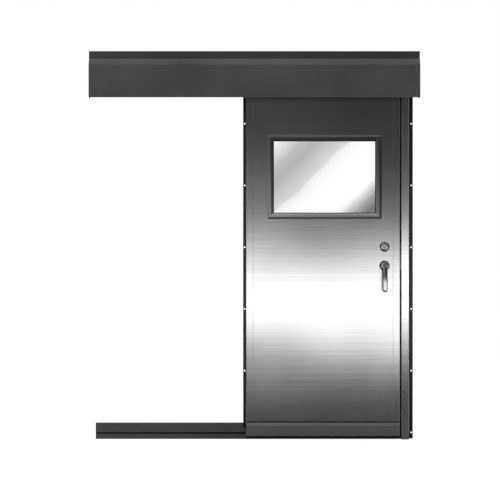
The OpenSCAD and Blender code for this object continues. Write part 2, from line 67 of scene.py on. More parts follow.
# %% Camera
PIXEL = 0.0053
IMAGE = 500
VIEW_X, VIEW_Z = -0.4034, 1.004
LEAF_FACE_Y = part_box("leaf_front_skin")[0].y
VIEW_DISTANCE = 14.0

camera_data = bpy.data.cameras.new("door_camera")
camera_data.sensor_width = 36.0
camera_data.lens = camera_data.sensor_width * VIEW_DISTANCE / (IMAGE * PIXEL)
camera = bpy.data.objects.new("door_camera", camera_data)
scene.collection.objects.link(camera)
camera.location = (VIEW_X, LEAF_FACE_Y - VIEW_DISTANCE, VIEW_Z)
camera.rotation_euler = (math.radians(90), 0, 0)
scene.camera = camera
print("lens:", round(camera_data.lens, 1), "mm")


# %% [markdown]
# ## Small helpers for node trees
# Every finish is a tree of shader nodes. A few short functions keep the cells below readable: they
# add a node and set its fields, chain maths nodes, map one range to another and read a place.

# %% Node helpers
def add(tree, kind, **fields):
    """Adds a node of a kind to a tree and sets its fields."""
    node = tree.nodes.new(kind)
    for name, value in fields.items():
        setattr(node, name, value)
    return node


def maths(tree, operation, first, second=None):
    """A maths node on two values or sockets, and its result."""
    node = add(tree, "ShaderNodeMath", operation=operation)
    for socket, value in zip(node.inputs, (first, second)):
        if isinstance(value, bpy.types.NodeSocket):
            tree.links.new(value, socket)
        elif value is not None:
            socket.default_value = value
    return node.outputs[0]


def mapped(tree, value, start, end, low, high, interpolation="LINEAR"):
    """A value's place between start and end, mapped to low and high."""
    node = add(tree, "ShaderNodeMapRange", interpolation_type=interpolation)
    for label, number in zip(("From Min", "From Max", "To Min", "To Max"), (start, end, low, high)):
        node.inputs[label].default_value = number
    tree.links.new(value, node.inputs["Value"])
    return node.outputs["Result"]


def place_on(tree):
    """The X, Y and Z of a point of a piece."""
    parts = add(tree, "ShaderNodeSeparateXYZ")
    tree.links.new(add(tree, "ShaderNodeTexCoord").outputs["Object"], parts.inputs[0])
    return parts.outputs


def new_tree(owner):
    """The empty node tree of a material or a world."""
    owner.use_nodes = True
    owner.node_tree.nodes.clear()
    return owner.node_tree


# %% [markdown]
# ## The studio
# A product picture is taken on white paper under soft light. The world is plain white for the
# camera, for glass and for mirrors, and weaker for the rays that light the door, so that nothing
# washes out. A wide sheet of pale paper lies under the door and keeps its shadow. It glows a
# little for the camera, because paper that is only lit would turn grey.

# %% World
BACKGROUND = (1.0, 1.0, 1.0, 1.0)
FILL = 0.70


def sees_background(tree):
    """1 for camera, glossy and transmission rays, and 0 for the rays that light the object."""
    path = add(tree, "ShaderNodeLightPath")
    seen = maths(tree, "MAXIMUM", path.outputs["Is Camera Ray"], path.outputs["Is Glossy Ray"])
    return maths(tree, "MAXIMUM", seen, path.outputs["Is Transmission Ray"])


world = bpy.data.worlds.new("white_studio")
scene.world = world
tree = new_tree(world)
out = add(tree, "ShaderNodeOutputWorld")
sky = add(tree, "ShaderNodeBackground")
sky.inputs["Color"].default_value = BACKGROUND
strength = maths(tree, "MULTIPLY_ADD", sees_background(tree), 1.0 - FILL)
strength.node.inputs[2].default_value = FILL
tree.links.new(strength, sky.inputs["Strength"])
tree.links.new(sky.outputs[0], out.inputs["Surface"])
print("world lights the door at", FILL)


# %% Floor
def stage_object(name, shape, materials):
    """Turns a bmesh into an object of the studio, with a list of finishes."""
    mesh = bpy.data.meshes.new(name)
    shape.to_mesh(mesh)
    shape.free()
    for material in materials:
        mesh.materials.append(material)
    piece = bpy.data.objects.new(name, mesh)
    scene.collection.objects.link(piece)
    return piece


FLOOR_SIZE = 120.0
FLOOR_DROP = 0.002
FLOOR_GLOW = 0.74
PAPER = (0.4, 0.4, 0.4, 1.0)

paper = bpy.data.materials.new("white_paper")
tree = new_tree(paper)
out = add(tree, "ShaderNodeOutputMaterial")
matte = add(tree, "ShaderNodeBsdfDiffuse")
matte.inputs["Color"].default_value = PAPER
glow = add(tree, "ShaderNodeEmission")
tree.links.new(maths(tree, "MULTIPLY", sees_background(tree), FLOOR_GLOW), glow.inputs["Strength"])
both = add(tree, "ShaderNodeAddShader")
tree.links.new(matte.outputs[0], both.inputs[0])
tree.links.new(glow.outputs[0], both.inputs[1])
tree.links.new(both.outputs[0], out.inputs["Surface"])

shape = bmesh.new()
bmesh.ops.create_grid(shape, x_segments=1, y_segments=1, size=FLOOR_SIZE / 2)
bmesh.ops.translate(shape, verts=shape.verts, vec=(0, 0, -FLOOR_DROP))
floor = stage_object("studio_floor", shape, [paper])
print("floor:", FLOOR_SIZE, "m wide")

# %% [markdown]
# ## The room that the steel reflects
# Brushed steel has hardly any colour of its own: it shows what stands in front of it. The real
# leaf is dark at the top and the foot and white across its middle, so it stood before a dark
# room with one long soft light at hip height. Lamps of that shape would light the paint as well,
# so here the room is a box that only reflections can see. Its walls glow, and each level is
# built from smooth steps and bells along an axis.

# %% Helpers for glowing walls
# A bell is its middle and its widths below and above. A step is the two places where it starts
# and ends, and the two levels there.
BELL_JOIN = 0.01
OVER_LOCK = (1.0, 1.15, 0.0, 1.0)
UNDER_HOOD = (1.95, 1.7, 0.0, 1.0)
LEFT_FALL = (1.2, 1.65, 0.225, 0.05)
LEFT_REST = 0.02


def plain_glow(name, strength):
    """A stage finish that glows evenly."""
    material = bpy.data.materials.new(name)
    tree = new_tree(material)
    out = add(tree, "ShaderNodeOutputMaterial")
    glow = add(tree, "ShaderNodeEmission")
    glow.inputs["Strength"].default_value = strength
    tree.links.new(glow.outputs[0], out.inputs["Surface"])
    return material, tree, glow


def smooth_step(tree, value, start, end, low, high):
    """Goes smoothly from low to high while a value goes from start to end."""
    return mapped(tree, value, start, end, low, high, "SMOOTHSTEP")


def bell_along_z(tree, height, middle_z, below, above):
    """A smooth bell that is 1 at its middle and has a width for each side."""
    width = smooth_step(tree, height, middle_z - BELL_JOIN, middle_z + BELL_JOIN, below, above)
    away = maths(tree, "DIVIDE", maths(tree, "SUBTRACT", height, middle_z), width)
    squared = maths(tree, "MULTIPLY", away, away)
    return maths(tree, "EXPONENT", maths(tree, "MULTIPLY", squared, -1.0))


def at_window_height(tree):
    """1 at the window's height, and 0 well above and below it."""
    height = place_on(tree)["Z"]
    over_lock = smooth_step(tree, height, *OVER_LOCK)
    return maths(tree, "MULTIPLY", over_lock, smooth_step(tree, height, *UNDER_HOOD))


def left_light(tree):
    """The level of the room's left end, which is lighter at the window's height."""
    falling = smooth_step(tree, place_on(tree)["Z"], *LEFT_FALL)
    at_window = maths(tree, "MULTIPLY", at_window_height(tree), falling)
    return maths(tree, "ADD", at_window, LEFT_REST)


# %% [markdown]
# The front wall carries the light band, a weak second glow at the height of the window's sill and
# a faint rest that is stronger on the left. It darkens towards its ends, apart from a spot on the
# right that lights the window frame's inner bevel. The back wall is what the leaf's inner face
# reflects.

# %% Front and back walls
BAND, BAND_LEVEL = (0.69, 0.249, 0.275), 2.3
SILL_GLOW = (1.29, 0.16, 0.18)
LEAF_SPAN = (-0.45, 0.45)
SILL_LEVELS, REST_LEVELS = (0.125, 0.068), (0.042, 0.024)
RIGHT_FADE = (1.1, 1.8, 1.0, 0.25)
LEFT_FADE = (-1.3, -1.9, 1.0, 0.0)
LEFT_END = (-1.65, -1.95, 0.0, 1.0)
SPOT_START, SPOT_END = (0.7, 0.95, 0.0, 1.0), (1.75, 1.5, 0.0, 1.0)
SPOT_RISE = (1.25, 1.45, 0.0, 0.10)
BACK_BAND, BACK_LEVEL, BACK_REST = (0.95, 0.60, 0.60), 0.75, 0.16

front_wall, tree, glow = plain_glow("front_wall", 1.0)
parts = place_on(tree)
level = maths(tree, "MULTIPLY", bell_along_z(tree, parts["Z"], *BAND), BAND_LEVEL)
sill_glow = maths(tree, "MULTIPLY", bell_along_z(tree, parts["Z"], *SILL_GLOW),
                  smooth_step(tree, parts["X"], *LEAF_SPAN, *SILL_LEVELS))
rest = smooth_step(tree, parts["X"], *LEAF_SPAN, *REST_LEVELS)
level = maths(tree, "ADD", maths(tree, "ADD", level, sill_glow), rest)
for fade in (RIGHT_FADE, LEFT_FADE):
    level = maths(tree, "MULTIPLY", level, smooth_step(tree, parts["X"], *fade))
left_end = maths(tree, "MULTIPLY", left_light(tree), smooth_step(tree, parts["X"], *LEFT_END))
spot = maths(tree, "MULTIPLY", smooth_step(tree, parts["X"], *SPOT_START),
             smooth_step(tree, parts["X"], *SPOT_END))
spot = maths(tree, "MULTIPLY", spot, smooth_step(tree, parts["Z"], *SPOT_RISE))
level = maths(tree, "ADD", level, maths(tree, "ADD", left_end, spot))
tree.links.new(level, glow.inputs["Strength"])

back_wall, tree, glow = plain_glow("back_wall", 1.0)
level = maths(tree, "MULTIPLY", bell_along_z(tree, place_on(tree)["Z"], *BACK_BAND), BACK_LEVEL)
tree.links.new(maths(tree, "ADD", level, BACK_REST), glow.inputs["Strength"])
print("light band at", BAND[0], "m")

# %% [markdown]
# From straight in front, the side walls, the ceiling and the ground only show in the bevels, in
# the lever and in the roses. At the window's height the left is light and the right is dark, so
# the window frame's right and lower edges read as shaded. The ceiling is lighter to the front,
# which lights the frame's lower inner bevel. The ground is dark before the leaf and light to both
# sides, where the leaf finds it when it is seen from above and from one side.

# %% Side walls, ceiling and ground
GROUND_NEAR = (-0.95, -0.82, 0.008, 0.075)
GROUND_ASIDE = (0.45, 1.3, 0.0, 0.4)
CEILING_ABOVE = (-0.9, -0.5, 0.02, 0.06)
CEILING_RIGHT = (0.45, 0.8, 0.0, 0.20)
CEILING_FRONT = (-1.09, -1.2, 0.0, 0.54)
BESIDE_LEAF = (-0.75, -0.35, 0.0, 0.5)
RIGHT_LEVELS = (0.22, 0.015)

ground, tree, glow = plain_glow("ground", 0.0)
parts = place_on(tree)
near = smooth_step(tree, parts["Y"], *GROUND_NEAR)
aside = smooth_step(tree, maths(tree, "ABSOLUTE", parts["X"]), *GROUND_ASIDE)
tree.links.new(maths(tree, "ADD", near, aside), glow.inputs["Strength"])

ceiling, tree, glow = plain_glow("ceiling", 0.0)
parts = place_on(tree)
level = maths(tree, "ADD", smooth_step(tree, parts["X"], *CEILING_ABOVE),
              smooth_step(tree, parts["X"], *CEILING_RIGHT))
level = maths(tree, "ADD", level, smooth_step(tree, parts["Y"], *CEILING_FRONT))
tree.links.new(level, glow.inputs["Strength"])

left_wall, tree, glow = plain_glow("left_wall", 0.0)
tree.links.new(left_light(tree), glow.inputs["Strength"])

right_wall, tree, glow = plain_glow("right_wall", 0.0)
beside = smooth_step(tree, place_on(tree)["Y"], *BESIDE_LEAF)
lit = smooth_step(tree, at_window_height(tree), 0.0, 1.0, *RIGHT_LEVELS)
tree.links.new(maths(tree, "ADD", beside, lit), glow.inputs["Strength"])
print("walls:", [wall.name for wall in (ground, ceiling, left_wall, right_wall)])

# %% The room's box
ROOM_LOW = Vector((-3.4, -1.4, -0.001))
ROOM_HIGH = Vector((2.4, 1.5, 3.2))
WALLS = [
    (front_wall, (0, -1, 0)), (back_wall, (0, 1, 0)), (left_wall, (-1, 0, 0)),
    (right_wall, (1, 0, 0)), (ceiling, (0, 0, 1)), (ground, (0, 0, -1)),
]
shape = bmesh.new()
bmesh.ops.create_cube(shape, size=1.0)
bmesh.ops.scale(shape, verts=shape.verts, vec=ROOM_HIGH - ROOM_LOW)
bmesh.ops.translate(shape, verts=shape.verts, vec=(ROOM_HIGH + ROOM_LOW) / 2)
for number, (_, outwards) in enumerate(WALLS):
    for face in shape.faces:
        if face.normal.dot(Vector(outwards)) > 0.5:
            face.material_index = number
room = stage_object("reflected_room", shape, [material for material, _ in WALLS])
room.visible_camera = room.visible_diffuse = False
room.visible_transmission = room.visible_shadow = False
print("room walls:", len(room.data.polygons))

# %% [markdown]
# ## The card behind the window
# Window glass shows what is behind it. Behind the real window lies a bright room with a soft
# slanting shade, so a small card stands there that only rays through glass can see. Its tone
# changes along one slanting line, from the upper left to the lower right, and a slow noise makes
# that line waver. A painted picture on the glass would stay the same from every side, and this
# doesn't.

# %% Shade of the card
# A shade is its place along the slant and its tone.
GLASS_LOW, GLASS_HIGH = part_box("window_glass")
CARD_MARGIN = 0.5
CARD_LEVEL = 1.24
SLANT = Vector((0.69, 0.0, -0.72))
SHADES = [
    (0.0, 0.9), (0.05, 0.78), (0.17, 0.49), (0.26, 0.42), (0.33, 0.53), (0.42, 0.65), (0.445, 0.84),
    (0.52, 0.94), (0.60, 1.0), (0.77, 1.0), (0.83, 0.62), (0.88, 0.33), (0.94, 0.16),
]
WAVER_SCALE, WAVER_DEPTH = 7.0, 0.06

card, tree, glow = plain_glow("window_card", CARD_LEVEL)
corner = Vector((GLASS_LOW.x, 0.0, GLASS_HIGH.z))
span = (Vector((GLASS_HIGH.x, 0.0, GLASS_LOW.z)) - corner).dot(SLANT)
along = add(tree, "ShaderNodeVectorMath", operation="DOT_PRODUCT")
tree.links.new(add(tree, "ShaderNodeTexCoord").outputs["Object"], along.inputs[0])
along.inputs[1].default_value = SLANT / span
place = maths(tree, "SUBTRACT", along.outputs["Value"], corner.dot(SLANT) / span)
waves = add(tree, "ShaderNodeTexNoise")
waves.inputs["Scale"].default_value = WAVER_SCALE
tree.links.new(add(tree, "ShaderNodeTexCoord").outputs["Object"], waves.inputs["Vector"])
waver = maths(tree, "SUBTRACT", waves.outputs["Fac"], 0.5)
place = maths(tree, "ADD", place, maths(tree, "MULTIPLY", waver, WAVER_DEPTH))
shade = add(tree, "ShaderNodeValToRGB")
ramp = shade.color_ramp.elements
for number, (stop, tone) in enumerate(SHADES):
    point = ramp[number] if number < 2 else ramp.new(stop)
    point.position, point.color = stop, (tone, tone, tone, 1)
tree.links.new(place, shade.inputs[0])
print("shades:", len(ramp))

# %% The card itself
CARD_Y = 0.5
CARD_EDGE = 0.03
parts = place_on(tree)
inside = None
for axis, low, high in (("X", GLASS_LOW.x, GLASS_HIGH.x), ("Z", GLASS_LOW.z, GLASS_HIGH.z)):
    half = (high - low) / 2
    off = maths(tree, "ABSOLUTE", maths(tree, "SUBTRACT", parts[axis], (low + high) / 2))
    near = smooth_step(tree, off, half + CARD_EDGE, half + CARD_MARGIN / 2, 1.0, 0.0)
    inside = near if inside is None else maths(tree, "MULTIPLY", inside, near)
tint = add(tree, "ShaderNodeMix", data_type="RGBA")
tint.inputs["A"].default_value = BACKGROUND
tree.links.new(inside, tint.inputs["Factor"])
tree.links.new(shade.outputs[0], tint.inputs["B"])
tree.links.new(tint.outputs["Result"], glow.inputs["Color"])

glass_size = GLASS_HIGH - GLASS_LOW
card_size = (glass_size.x + CARD_MARGIN, 1.0, glass_size.z + CARD_MARGIN)
card_middle = (GLASS_LOW + GLASS_HIGH) / 2
shape = bmesh.new()
bmesh.ops.create_grid(shape, x_segments=1, y_segments=1, size=0.5)
bmesh.ops.rotate(shape, verts=shape.verts, matrix=Matrix.Rotation(math.radians(90), 3, "X"))
bmesh.ops.scale(shape, verts=shape.verts, vec=card_size)
bmesh.ops.translate(shape, verts=shape.verts, vec=(card_middle.x, CARD_Y, card_middle.z))
window_card = stage_object("window_card", shape, [card])
window_card.visible_camera = window_card.visible_diffuse = False
window_card.visible_glossy = window_card.visible_shadow = False
print("card:", [round(v, 2) for v in card_size])

# %% [markdown]
# ## Lamps
# Paint, rubber and paper are matt, so they need real lamps. A large disk at the upper left is the
# main light. Two weaker ones, behind and above, keep the back and the top from going black. Large
# lamps are chosen because they give soft shadows.

# %% Lamps
# A lamp is its place, its width and its watts.
LAMPS = {
    "key_upper_left": ((-3.0, -4.2, 4.6), 3.0, 118.0),
    "soft_back": ((1.5, 4.5, 3.6), 3.0, 60.0),
    "soft_top": ((-0.4, -0.3, 5.2), 2.5, 60.0),
}
AIM = Vector((-0.3, 0.0, 1.0))
for name, (place, size, watts) in LAMPS.items():
    data = bpy.data.lights.new(name, "AREA")
    data.shape, data.size, data.energy = "DISK", size, watts
    lamp = bpy.data.objects.new(name, data)
    scene.collection.objects.link(lamp)
    lamp.location = place
    lamp.rotation_mode = "QUATERNION"
    lamp.rotation_quaternion = (AIM - Vector(place)).to_track_quat("-Z", "Y")
    lamp.visible_camera = False
print("lamps:", list(LAMPS))


# %% [markdown]
# ## Shared surface effects
# Brushing leaves long thin lines in the steel, all the same way. A noise that is stretched along
# X and squeezed along Z draws them, and because several finishes need it, it is one node group.
# A second group gives the slow cloudy changes that handling and rain leave on any metal. A third
# tilts a sheet's face by a hair over wide areas, as rolled sheet does, and can twist it above the
# foot, so the light band's edges waver and slant. A fourth rounds the edges: no folded or cut
# edge on a real door is perfectly sharp, and a rounded edge catches a thin line of light. Its
# mask also tells a finish where hands and rain polish it.

# %% Node group helpers
def new_group(name, values, results):
    """A shader node group with named number inputs, and outputs of a kind each."""
    group = bpy.data.node_groups.new(name, "ShaderNodeTree")
    for label, default in values.items():
        socket = group.interface.new_socket(label, in_out="INPUT", socket_type="NodeSocketFloat")
        socket.default_value = default
    for label, kind in results.items():
        group.interface.new_socket(label, in_out="OUTPUT", socket_type="NodeSocket" + kind)
    start, end = add(group, "NodeGroupInput"), add(group, "NodeGroupOutput")
    return group, start, end


def stretched_noise(group, stretch, scale, detail):
    """Noise on Object coordinates, stretched by a factor for each axis."""
    place = add(group, "ShaderNodeTexCoord").outputs["Object"]
    mapping = add(group, "ShaderNodeMapping")
    mapping.inputs["Scale"].default_value = stretch
    group.links.new(place, mapping.inputs["Vector"])
    noise = add(group, "ShaderNodeTexNoise")
    noise.inputs["Detail"].default_value = detail
    group.links.new(mapping.outputs[0], noise.inputs["Vector"])
    if isinstance(scale, bpy.types.NodeSocket):
        group.links.new(scale, noise.inputs["Scale"])
    else:
        noise.inputs["Scale"].default_value = scale
    return noise.outputs["Fac"]


def noise_pair(name, size, first, second):
    """A group of two noises with one size, each a label, a stretch and a detail."""
    results = {label: "Float" for label, _, _ in (first, second)}
    group, start, end = new_group(name, {size: 1.0}, results)
    for label, stretch, detail in (first, second):
        noise = stretched_noise(group, stretch, start.outputs[size], detail)
        group.links.new(noise, end.inputs[label])
    return group


# %% Node groups
FINE_LINES = ("Lines", (4.0, 60.0, 900.0), 4.0)
BROAD_LINES = ("Bands", (0.7, 6.0, 110.0), 3.0)
CLOUDS = ("Clouds", (3.0, 3.0, 3.0), 5.0)
SPECKS = ("Specks", (260.0, 260.0, 260.0), 2.0)
brush_lines = noise_pair("brush_lines", "Fineness", FINE_LINES, BROAD_LINES)
cloudy_wear = noise_pair("cloudy_wear", "Size", CLOUDS, SPECKS)

SHEET_STRETCH = (2.0, 2.0, 1.3)
ABOVE_FOOT = (0.47, 0.15, 0.15)
sheet_waves, start, end = new_group(
    "sheet_waves", {"Depth": 0.06, "Twist": 0.0}, {"Tilt": "Float"})
slow = stretched_noise(sheet_waves, SHEET_STRETCH, 1.0, 1.0)
waves = maths(sheet_waves, "SUBTRACT", 0.5, slow)
waves = maths(sheet_waves, "MULTIPLY", waves, start.outputs["Depth"])
parts = place_on(sheet_waves)
above_foot = bell_along_z(sheet_waves, parts["Z"], *ABOVE_FOOT)
twist = maths(sheet_waves, "MULTIPLY", parts["X"], above_foot)
twist = maths(sheet_waves, "MULTIPLY", twist, start.outputs["Twist"])
sheet_waves.links.new(maths(sheet_waves, "ADD", waves, twist), end.inputs["Tilt"])

EDGE_MASK = (0.995, 0.85, 0.0, 1.0)
soft_edges, start, end = new_group(
    "soft_edges", {"Radius": 0.001}, {"Normal": "Vector", "Edge": "Float"})
rounded = add(soft_edges, "ShaderNodeBevel", samples=6)
soft_edges.links.new(start.outputs["Radius"], rounded.inputs["Radius"])
flat_normal = add(soft_edges, "ShaderNodeNewGeometry").outputs["Normal"]
agree = add(soft_edges, "ShaderNodeVectorMath", operation="DOT_PRODUCT")
soft_edges.links.new(rounded.outputs[0], agree.inputs[0])
soft_edges.links.new(flat_normal, agree.inputs[1])
edge = smooth_step(soft_edges, agree.outputs["Value"], *EDGE_MASK)
soft_edges.links.new(rounded.outputs[0], end.inputs["Normal"])
soft_edges.links.new(edge, end.inputs["Edge"])
print("groups:", [g.name for g in bpy.data.node_groups])


# %% [markdown]
# ## Finishes
# Each finish is one Principled shader. What is the same all over sits on the shader's own
# sockets. What changes over the surface comes from the groups, through a Map Range node that
# turns a mask into a range of roughness or of brightness.

# %% Finish helpers
MASK_RANGE = (0.3, 0.7)


def spread(tree, mask, low, high):
    """Maps a mask from its middle range to the values from low to high."""
    return mapped(tree, mask, *MASK_RANGE, low, high)


def grey(tree, value, tint=(1.0, 1.0, 1.0)):
    """A colour from a brightness, with a slight tint."""
    node = add(tree, "ShaderNodeCombineColor")
    for socket, part in zip(node.inputs, tint):
        tree.links.new(maths(tree, "MULTIPLY", value, part), socket)
    return node.outputs["Color"]


def principled(name, **sockets):
    """A material with one Principled shader and its constant sockets."""
    material = bpy.data.materials.new(name)
    tree = new_tree(material)
    out = add(tree, "ShaderNodeOutputMaterial")
    shader = add(tree, "ShaderNodeBsdfPrincipled")
    for label, value in sockets.items():
        shader.inputs[label.replace("_", " ")].default_value = value
    tree.links.new(shader.outputs[0], out.inputs["Surface"])
    return material, tree, shader


def use(tree, group, **values):
    """Places a node group in a material with its own values."""
    node = add(tree, "ShaderNodeGroup", node_tree=group)
    for label, value in values.items():
        node.inputs[label].default_value = value
    return node.outputs


def bump(tree, shader, normal, mask, strength, distance):
    """Lets a mask raise the surface over a smoother normal."""
    node = add(tree, "ShaderNodeBump")
    node.inputs["Strength"].default_value = strength
    node.inputs["Distance"].default_value = distance
    tree.links.new(mask, node.inputs["Height"])
    tree.links.new(normal, node.inputs["Normal"])
    tree.links.new(node.outputs[0], shader.inputs["Normal"])


# %% [markdown]
# ## Metals
# The leaf is brushed stainless sheet, the fittings are ground finer, and the hood, the track and
# the frame are painted. Steel is a metal of middling roughness, and its brush lines change its
# tone and roughness by a little only: deep lines would break the soft light band into streaks.
# The window frame and the post get steels of their own: the frame is ground finer, the post leans
# by a hair, which moves the band on it, and both are brighter than the leaf's steel, as painted
# light. The wall plate's paint is darker than the hood's, as painted shade. Paint isn't a metal. It
# has a fine orange peel and is worn a little lighter at its edges.

# %% Brushed steel and paint
STEEL_TINT = (0.995, 1.0, 1.005)
BAND_TONES = (0.96, 1.04)
CLOUD_ROUGHNESS = (-0.012, 0.018)
BRUSH_DEPTH = 0.0003
PAINT_GLOSS = 0.4
PAINT_EDGE = 0.0015
EDGE_WEAR = (0.0, 0.5)
PEEL, PEEL_DEPTH = 0.06, 0.0004


def brushed_metal(name, brightness, roughness, fineness, relief, lean=0.0, twist=0.0):
    """Steel with brush lines along X, whose face may lean or twist a little."""
    material, tree, shader = principled(name, Metallic=1.0)
    brush = use(tree, brush_lines, Fineness=fineness)
    wear = use(tree, cloudy_wear, Size=1.0)
    tone = spread(tree, brush["Lines"], *brightness)
    tone = maths(tree, "MULTIPLY", tone, spread(tree, brush["Bands"], *BAND_TONES))
    tree.links.new(grey(tree, tone, STEEL_TINT), shader.inputs["Base Color"])
    rough = spread(tree, brush["Lines"], *roughness)
    rough = maths(tree, "ADD", rough, spread(tree, wear["Clouds"], *CLOUD_ROUGHNESS))
    tree.links.new(rough, shader.inputs["Roughness"])
    tilt = add(tree, "ShaderNodeCombineXYZ")
    waves = use(tree, sheet_waves, Twist=twist)["Tilt"]
    tree.links.new(maths(tree, "ADD", waves, lean), tilt.inputs["Z"])
    leaning = add(tree, "ShaderNodeVectorMath", operation="ADD")
    tree.links.new(add(tree, "ShaderNodeNewGeometry").outputs["Normal"], leaning.inputs[0])
    tree.links.new(tilt.outputs[0], leaning.inputs[1])
    bump(tree, shader, leaning.outputs[0], brush["Lines"], relief, BRUSH_DEPTH)
    return material


def satin_paint(name, brightness, roughness, tint=(1.0, 1.0, 1.0)):
    """Baked satin paint with a fine orange peel."""
    material, tree, shader = principled(name, Specular_IOR_Level=PAINT_GLOSS)
    wear = use(tree, cloudy_wear, Size=1.0)
    tone = spread(tree, wear["Clouds"], *brightness)
    edges = use(tree, soft_edges, Radius=PAINT_EDGE)
    worn = maths(tree, "MULTIPLY", edges["Edge"], spread(tree, wear["Clouds"], *EDGE_WEAR))
    tone = maths(tree, "MULTIPLY", tone, maths(tree, "ADD", worn, 1.0))
    tree.links.new(grey(tree, tone, tint), shader.inputs["Base Color"])
    tree.links.new(spread(tree, wear["Specks"], *roughness), shader.inputs["Roughness"])
    bump(tree, shader, edges["Normal"], wear["Specks"], PEEL, PEEL_DEPTH)
    return material


# %% Metals
# Each finish has a range of brightness and of roughness. Steel also has its lines' fineness and
# relief.
finishes = {
    "brushed_steel": brushed_metal(
        "brushed_steel", (0.60, 0.67), (0.225, 0.255), 1.0, 0.01, twist=0.055),
    "bright_steel": brushed_metal("bright_steel", (0.38, 0.46), (0.14, 0.20), 1.6, 0.04),
    "dark_steel": satin_paint("dark_steel", (0.045, 0.069), (0.34, 0.44)),
    "black_steel": satin_paint("black_steel", (0.010, 0.014), (0.36, 0.46)),
}
own_finishes = {
    # Painted light: the window frame's steel is brighter than the leaf's. Its lower roughness is
    # the finer grind.
    "window_frame": brushed_metal("window_steel_painted_light", (0.74, 0.81), (0.155, 0.175), 1.0, 0.005),
    # Painted light: the post's steel is brighter than the leaf's. The lean only tilts its normal.
    "strike_post": brushed_metal(
        "post_steel_painted_light", (0.70, 0.77), (0.225, 0.255), 1.0, 0.01, lean=-0.029),
    # Painted shade: the wall plate's paint is darker than the hood's, for the shade above and
    # behind the hood.
    "wall_plate": satin_paint("plate_paint_painted_shade", (0.029, 0.043), (0.40, 0.50)),
}
print("metals:", list(finishes))

# %% [markdown]
# ## Rubber, nylon, board and glass
# Seals, rollers and the insulating board in the leaf are matt and even, so the paint's tree serves
# them with other values. Glass lets light through. A faint cloudy film on it, as rain leaves, keeps
# the pane from looking like a hole.

# %% Rubber, nylon, board and glass
FILM_SIZE = 1.5
FILM_TONES = (0.90, 0.86)
FILM_ROUGHNESS = (0.0, 0.05)
GLASS_TINT = (0.975, 1.0, 0.995)

finishes["seal_rubber"] = satin_paint("seal_rubber", (0.008, 0.012), (0.62, 0.78))
finishes["nylon"] = satin_paint("nylon", (0.70, 0.78), (0.40, 0.52), (1.0, 0.99, 0.95))
finishes["foam_core"] = satin_paint("foam_core", (0.42, 0.54), (0.80, 0.92), (1.0, 0.95, 0.80))
glass, tree, shader = principled("window_glass", Transmission_Weight=1.0, IOR=1.45)
film = use(tree, cloudy_wear, Size=FILM_SIZE)
pane = grey(tree, spread(tree, film["Clouds"], *FILM_TONES), GLASS_TINT)
tree.links.new(pane, shader.inputs["Base Color"])
tree.links.new(spread(tree, film["Clouds"], *FILM_ROUGHNESS), shader.inputs["Roughness"])
finishes["glass"] = glass
print("finishes:", list(finishes))

# %% [markdown]
# ## Dress the solids
# The record names a material for every node. Each solid's slots get that finish, apart from the
# three nodes that have a finish of their own: a brighter steel with painted light on the window
# frame and on the post, and a darker paint with painted shade on the wall plate.

# %% Dress every CAD node
node_slots = {part["node"]: part["material_slot"] for part in frame["record"]["subparts"]}
for name, piece in nodes.items():
    for slot in piece.material_slots:
        slot.material = own_finishes.get(name, finishes[node_slots[name]])
print("dressed:", len(node_slots))

# %% [markdown]
# ## The lever
# A door lever is cast in one piece: a round neck comes out of the rose, bends down and flattens
# into a grip with a rounded tip. CAD has it as a plain bar on a plain neck. Here a ring of edges
# is extruded along that path, one short step at a time. The ring is squeezed while it still goes
# straight out, turned about the bend's middle, and then only widened or narrowed.

# %% Helpers for new pieces
def ring_step(shape, ring):
    """Extrudes a ring of edges in place, and gives the new ring's edges and vertices."""
    made = bmesh.ops.extrude_edge_only(shape, edges=ring)["geom"]
    edges = [e for e in made if isinstance(e, bmesh.types.BMEdge)]
    verts = [v for v in made if isinstance(v, bmesh.types.BMVert)]
    new_ring = [e for e in edges if e.verts[0] in set(verts) and e.verts[1] in set(verts)]
    return new_ring, verts


def scale_about(shape, verts, middle, factors):
    """Scales vertices along the axes about a middle."""
    bmesh.ops.scale(shape, verts=verts, vec=factors, space=Matrix.Translation(-Vector(middle)))


def finished_piece(name, shape, body, slot, sharp):
    """Turns a bmesh into a piece on a body, with edges that are sharp above some degrees."""
    bmesh.ops.remove_doubles(shape, verts=shape.verts, dist=1e-6)
    bmesh.ops.recalc_face_normals(shape, faces=shape.faces)
    mesh = bpy.data.meshes.new(name)
    shape.to_mesh(mesh)
    shape.free()
    mesh.materials.append(finishes[slot])
    mesh.shade_smooth()
    mesh.set_sharp_from_angle(angle=math.radians(sharp))
    piece = bpy.data.objects.new(name, mesh)
    scene.collection.objects.link(piece)
    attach(piece, body)
    print(name, len(mesh.polygons), "faces")
    return piece


# %% Lever: neck
# A bend is a radius, its degrees and its steps. A step of the neck is its share of the length and
# its thickness.
lever_low, lever_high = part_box("lever_handle")
HANDLE_X = (lever_low.x + lever_high.x) / 2
NECK_R = 0.009
HANDLE_Z = lever_high.z - NECK_R
GRIP_HALF_W = (lever_high.x - lever_low.x) / 2
GRIP_HALF_T = 0.0085
GRIP_INSET = 0.009
BENDS = ((0.018, 70, 7), (0.22, 20, 6))
BENDS_OUT = 0.0302
NECK_END_Y = lever_low.y + GRIP_INSET + BENDS_OUT
NECK_STEPS = ((0.7, 1.0), (0.3, GRIP_HALF_T / NECK_R))

